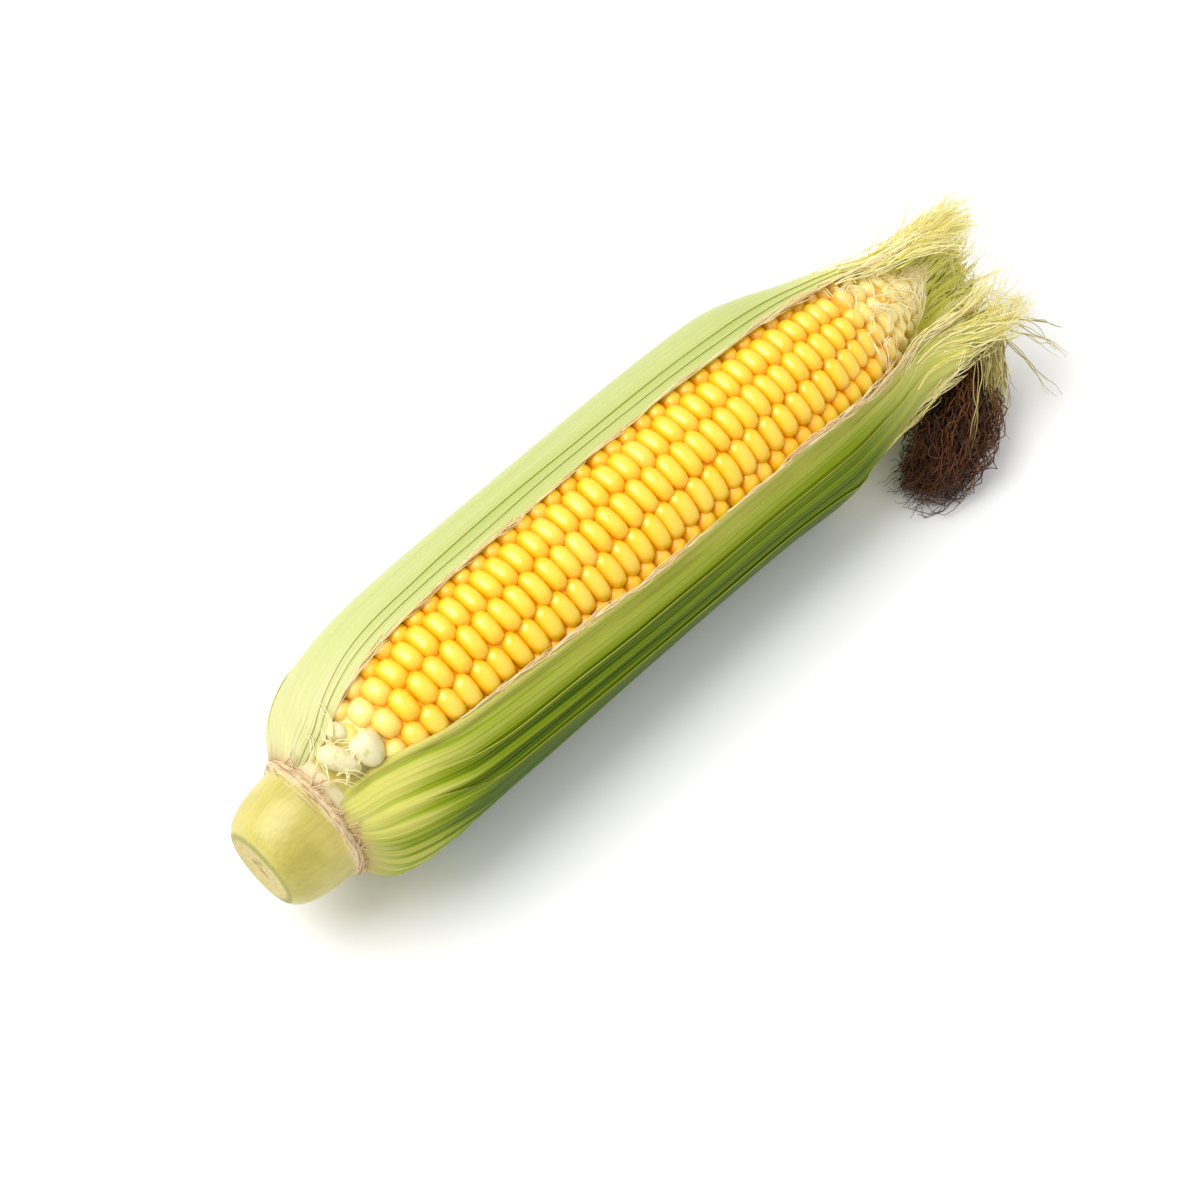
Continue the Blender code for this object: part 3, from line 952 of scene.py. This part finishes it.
silk = {
    # name: fibres on the end of that leaf
    "fringe": {
        "left_1": 110, "left_2": 90, "left_3": 80, "left_4": 20, "right_1": 90, "right_2": 80, "right_3": 30,
    },
    "fringeSpan": 70,  # degrees from a leaf's edge
    "fringeBack": 0.4,  # share of the fibres that stand anywhere round the leaf
    "tuftCoils": 44,
    "paleLocks": 26,
    # the pale locks' path, and the far ends of the long strays: mm along, towards +Y, and up
    "palePath": (
        (228, -13, 25), (229, -19, 25.5), (227.5, -25, 22.5), (225, -29.5, 17), (222, -33, 10), (220, -35, 4),
    ),
    "strays": ((249, -30, 13), (250, -33, 4), (238, -40, 3), (212, -40, 4), (206, -38, 12), (243, -36, 14)),
    "hairs": 150,
    # loose threads: side, how many, and between which mm along
    "threads": ((1, 60, 150, 238), (1, 26, 50, 160), (-1, 26, 150, 232), (-1, 26, 30, 150)),
    "collarFibres": 70,
    "collarEnds": 26,
    "shreds": 16,
}


def strandTree():
    tree = newTree("strands", {
        "Copies": ("NodeSocketInt", 6),
        "Points": ("NodeSocketInt", 18),
        "Spread": ("NodeSocketFloat", 0.001),
        "Spread start": ("NodeSocketFloat", 0.2),
        "Wave": ("NodeSocketFloat", 0.001),
        "Wave size": ("NodeSocketFloat", 120.0),
        "Thickness": ("NodeSocketFloat", 0.0002),
        "Sides": ("NodeSocketInt", 3),
        "Floor": ("NodeSocketFloat", 0.0003),
        "Seed": ("NodeSocketInt", 1),
        "Material": ("NodeSocketMaterial", None),
    })
    graph, given = begin(tree)
    curves = graph.node("GeometryNodeMeshToCurve", None, {"Mesh": given["Geometry"]})
    copies = graph.node("GeometryNodeDuplicateElements", {"domain": "SPLINE"},
                        {"Geometry": curves, "Amount": given["Copies"]})
    fine = graph.node("GeometryNodeResampleCurve", None, {"Curve": copies, "Count": given["Points"]})
    number = graph.node("GeometryNodeCurveOfPoint", None, None, "Curve Index")
    factor = graph.node("GeometryNodeSplineParameter", None, None, "Factor")
    where = graph.node("GeometryNodeInputPosition")

    def chance(low, high, extra):
        return graph.node("FunctionNodeRandomValue", {"data_type": "FLOAT_VECTOR"},
                          {0: (low,) * 3, 1: (high,) * 3, "ID": number, "Seed": given["Seed"] + extra})

    grown = given["Spread start"] + (1 - given["Spread start"]) * factor
    apart = graph.scaled(chance(-1.0, 1.0, 0), given["Spread"] * grown)
    shifted = graph.vector("ADD", graph.scaled(where, given["Wave size"]), chance(0.0, 40.0, 17))
    wave = graph.vector("SUBTRACT", graph.noise(shifted, 1.0, 1.0, 0.5, "Color"), (0.5, 0.5, 0.5))
    waved = graph.scaled(wave, given["Wave"] * 2 * (0.15 + factor))
    loose = graph.vector("ADD", graph.vector("ADD", where, apart), waved)
    height = graph.maths("MAXIMUM", graph.part(loose, "Z"), given["Floor"])
    settled = graph.xyz(graph.part(loose, "X"), graph.part(loose, "Y"), height)
    moved = graph.node("GeometryNodeSetPosition", None, {"Geometry": fine, "Position": settled})
    taper = given["Thickness"] * (1 - factor ** 4.0 * 0.7)
    index = graph.node("GeometryNodeInputIndex")
    tone = graph.node("FunctionNodeRandomValue", {"data_type": "FLOAT"},
                      {2: 0.0, 3: 1.0, "ID": index, "Seed": given["Seed"] + 5}, 1)
    toned = graph.node("GeometryNodeStoreNamedAttribute", {"data_type": "FLOAT", "domain": "CURVE"}, {
        "Geometry": moved, "Name": "tone", "Value": tone,
    })
    ring = graph.node("GeometryNodeCurvePrimitiveCircle", None,
                      {"Resolution": given["Sides"], "Radius": 1.0})
    tubes = graph.node("GeometryNodeCurveToMesh", None, {
        "Curve": toned, "Profile Curve": ring, "Scale": taper, "Fill Caps": True,
    })
    smooth = graph.node("GeometryNodeSetShadeSmooth", None, {"Geometry": tubes, "Shade Smooth": True})
    finishTree(graph, smooth, given["Material"])
    return tree


strands = strandTree()
quarters = (0, 0.25, 0.5, 0.75, 1)


def silkPaint(name, dark, light, rough, paintedGlow=0.0):
    paint = Paint(name, {"Specular IOR Level": 0.4, "Emission Strength": paintedGlow})
    tone = paint.read("tone")
    fleck = paint.noise(paint.where(), 380.0, 3.0, 0.6)
    tint = paint.mix(paint.ramp(tone * 0.7 + fleck * 0.5, 0.25, 0.95), dark, light)
    # painted glow: the strands emit their own colour as light
    if paintedGlow > 0:
        paint.feed(Emission_Color=tint)
    return paint.feed(Base_Color=tint, Roughness=rough + fleck * 0.15)


def tuftLines():  # coils of dried silk filling the tuft, then out of the mouth of the husk
    rng = random.Random(21)
    lines = []
    for i in range(silk["tuftCoils"]):
        spin = rng.uniform(0, tau)
        reach = math.sqrt(rng.random())

        def at(s, y, z, wide, tall, swing):
            a = spin + swing
            return spot(s, y + wide * reach * math.cos(a), max(0.4, z + tall * reach * math.sin(a)))

        lines.append([
            at(216 + rng.uniform(-9, 5), -13.5, 13.5, 2, 2, 0.2), at(224, -14, 13, 2.5, 2.5, 0.3),
            at(227, -16, 11.5, 3, 3, 0.4), at(227, -19, 9.5, 4.5, 4.5, 0.6), at(223, -22.5, 8, 7, 7, 0.9),
            at(216 + rng.uniform(-2, 3), -27.5, 8, 9.5, 8, 1.3),
            at(206 + rng.uniform(-3, 3), -31, 7.5, 9.5, 7.5, 1.8),
            at(197 + rng.uniform(-4, 6), -33, 6, 7.5, 6, 2.3),
            at(193 + rng.uniform(-3, 9), -32, 5, 5, 5, 3.0 + rng.uniform(-0.6, 0.6)),
        ])
    return lines


def paleTuftLines():  # paler silk that hangs in front of the dried tuft, and a few long strays
    rng = random.Random(5)
    lines = []
    for i in range(silk["paleLocks"]):
        swing = rng.uniform(-1, 1)
        drop = rng.uniform(0.55, 1)
        line = []
        for n, (s, y, z) in enumerate(silk["palePath"][:3 + int(3.99 * drop)]):
            s += swing * (1 + 0.9 * n) + rng.gauss(0, 0.5)
            y += rng.gauss(0, 0.5 + 0.25 * n)
            line.append(spot(s, y, z + rng.gauss(0, 0.5)))
        lines.append(line)
    for stray in silk["strays"]:
        start, end = spot(229, -18, 24), spot(*stray)
        bow = Vector((0, 0, rng.uniform(2, 6) * mm))
        lines.append([start.lerp(end, t) + bow * (4 * t * (1 - t)) for t in (0, 0.2, 0.4, 0.6, 0.8, 1)])
    return lines


def fringeLines():  # torn fibres on the ends of the leaves
    rng = random.Random(8)
    lines = []
    for name, count in silk["fringe"].items():
        leaf = leaves[name]
        side = leaf["side"]
        edge = leafEdge(leaf, 228)
        for i in range(count):
            wide = silk["fringeSpan"]
            if rng.random() < silk["fringeBack"]:
                wide = abs(husk["far"][side] - edge)
            turn = edge + side * wide * rng.random()
            end = leafEnd(leaf, turn)
            first = end - rng.uniform(4, 20) - (18 if rng.random() < 0.12 else 0)
            near = math.exp(-(abs(turn - edge) / 22) ** 2)
            last = end + rng.uniform(-6, 4) + (9 * near if side < 0 else 3 * near)
            drift = rng.gauss(22, 14) if side < 0 else rng.gauss(-4, 9)
            flare = rng.gauss(0.4, 1.6)
            lines.append([leafPoint(leaf, blend(first, last, t), turn + drift * t * t, 0.2 + flare * t * t)
                          for t in (0, 0.15, 0.3, 0.45, 0.6, 0.75, 0.9, 1)])
    return lines


def hairLines():  # matted hairs over the tip of the cob
    rng = random.Random(31)
    lines = []
    for i in range(silk["hairs"]):
        s = 223 - 30 * rng.random() ** 1.4
        turn = rng.gauss(0, 48)
        heading = rng.gauss(0, 0.9)
        bend = rng.gauss(0, 0.9)
        stride = rng.uniform(3.5, 10) / 5
        line = []
        for step in range(6):
            radius = earRadius(min(s, 224.6))
            line.append(place(s, turn, radius + 0.15 + rng.uniform(0.1, 0.7) * math.sin(math.pi * step / 5)))
            s += stride * math.cos(heading)
            turn += math.degrees(stride * math.sin(heading) / max(radius, 3))
            heading += bend / 5
        lines.append(line)
    return lines


def threadLines():  # loose threads along the edges of the innermost leaves
    rng = random.Random(14)
    lines = []
    for side, count, low, high in silk["threads"]:
        leaf = leaves["right_1" if side > 0 else "left_1"]
        looser = low >= 150
        for i in range(count):
            s = rng.uniform(low, high)
            length = rng.uniform(5, 18)
            inward = rng.uniform(-1.5, 5.0) * (1 if looser else 0.4)
            rise = rng.uniform(0.1, 1.4) * (1 if looser else 0.5)
            line = []
            for t in quarters:
                here = min(s + length * t, leaf["end"] - 4)
                turn = leafEdge(leaf, here) - side * inward * math.sin(math.pi * t)
                line.append(leafPoint(leaf, here, turn, 0.1 + rise * math.sin(math.pi * t)))
            lines.append(line)
    return lines


def collarLines():  # the torn ring where the outer leaves came away
    rng = random.Random(3)
    lines = []
    for i in range(silk["collarFibres"]):
        turn = rng.uniform(0, 360)
        span = rng.uniform(12, 46)
        s = stem["collar"] + rng.gauss(0, 0.7)
        slant = rng.gauss(0, 0.8)
        ends = [(s + slant * t, turn + span * t) for t in quarters]
        lines.append([place(*end, stemRadius(*end) + 0.05) for end in ends])
    for i in range(silk["collarEnds"]):  # short ends that stand up onto the leaves
        turn = rng.uniform(-60, 70)
        s = stem["collar"] + rng.uniform(0.2, 1)
        length = rng.uniform(1, 3.4)
        lines.append([place(s + length * t, turn + rng.gauss(0, 3), 16.1 + 4.2 * t * length / 5)
                      for t in (0, 0.5, 1)])
    return lines


def chaffLines():  # dry shreds round the unfilled kernels
    rng = random.Random(19)
    lines = []
    for i in range(silk["shreds"]):
        s = rng.uniform(20, 30)
        turn = rng.uniform(-38, 4)
        away = rng.uniform(-30, 30)
        length = rng.uniform(2, 7)
        radius = earRadius(s + 3) + 1.7
        lines.append([place(s + length * t, turn + away * t * t, radius + 1.6 * math.sin(2.4 * t))
                      for t in (0, 0.35, 0.7, 1)])
    return lines


def makeStrands(name, lines, slot, node, paint, values):
    fields = ("Copies", "Points", "Spread", "Spread start", "Wave", "Wave size", "Thickness", "Seed")
    settings = dict(zip(fields, values)) | {"Material": paint}
    keep(grow(name, lineMesh(name + "Lines", lines), strands, settings), slot, node)


def makeSilk():
    brown = silkPaint("silkDry", colour(34, 19, 8), colour(118, 68, 32), 0.36)
    pale = silkPaint("silkPale", colour(160, 142, 70), colour(222, 208, 138), 0.5)
    # the leaf fibres and the cob's hairs get a painted glow, emitting a little light of their own
    fibre = silkPaint("leafFibre", colour(226, 214, 112), colour(252, 242, 190), 0.5, 0.12)
    hair = silkPaint("cobHair", colour(240, 220, 146), colour(252, 244, 204), 0.5, 0.1)
    thread = silkPaint("leafThread", colour(236, 200, 138), colour(250, 236, 190), 0.5)
    bark = silkPaint("collarFibre", colour(190, 152, 104), colour(238, 214, 176), 0.6)
    # copies, points, spread, share of the spread at the start, wave, wave size, thickness, seed
    makeStrands("silk_tuft", tuftLines(), "silk", "silk", brown,
                (13, 44, 0.0034, 0.3, 0.0062, 170.0, 0.00019, 4))
    makeStrands("silk_pale", paleTuftLines(), "silk", "silk", pale,
                (3, 20, 0.0014, 0.3, 0.0030, 90.0, 0.00016, 9))
    makeStrands("leaf_fringe", fringeLines(), "husk_inner", "husk_leaf_left_1", fibre,
                (4, 13, 0.0020, 0.05, 0.0036, 80.0, 0.00013, 2))
    makeStrands("cob_hair", hairLines(), "silk", "ear", hair,
                (2, 9, 0.0007, 0.5, 0.0008, 200.0, 0.00012, 6))
    makeStrands("leaf_threads", threadLines(), "husk_inner", "husk_leaf_right_1", thread,
                (2, 12, 0.0006, 0.2, 0.0016, 110.0, 0.00012, 12))
    makeStrands("collar_fibres", collarLines(), "shank", "shank", bark,
                (2, 9, 0.0003, 0.6, 0.0004, 300.0, 0.00011, 15))
    makeStrands("chaff", chaffLines(), "kernels", "ear", hair,
                (3, 9, 0.0009, 0.1, 0.0012, 260.0, 0.00014, 18))


makeSilk()
print("silk laid")
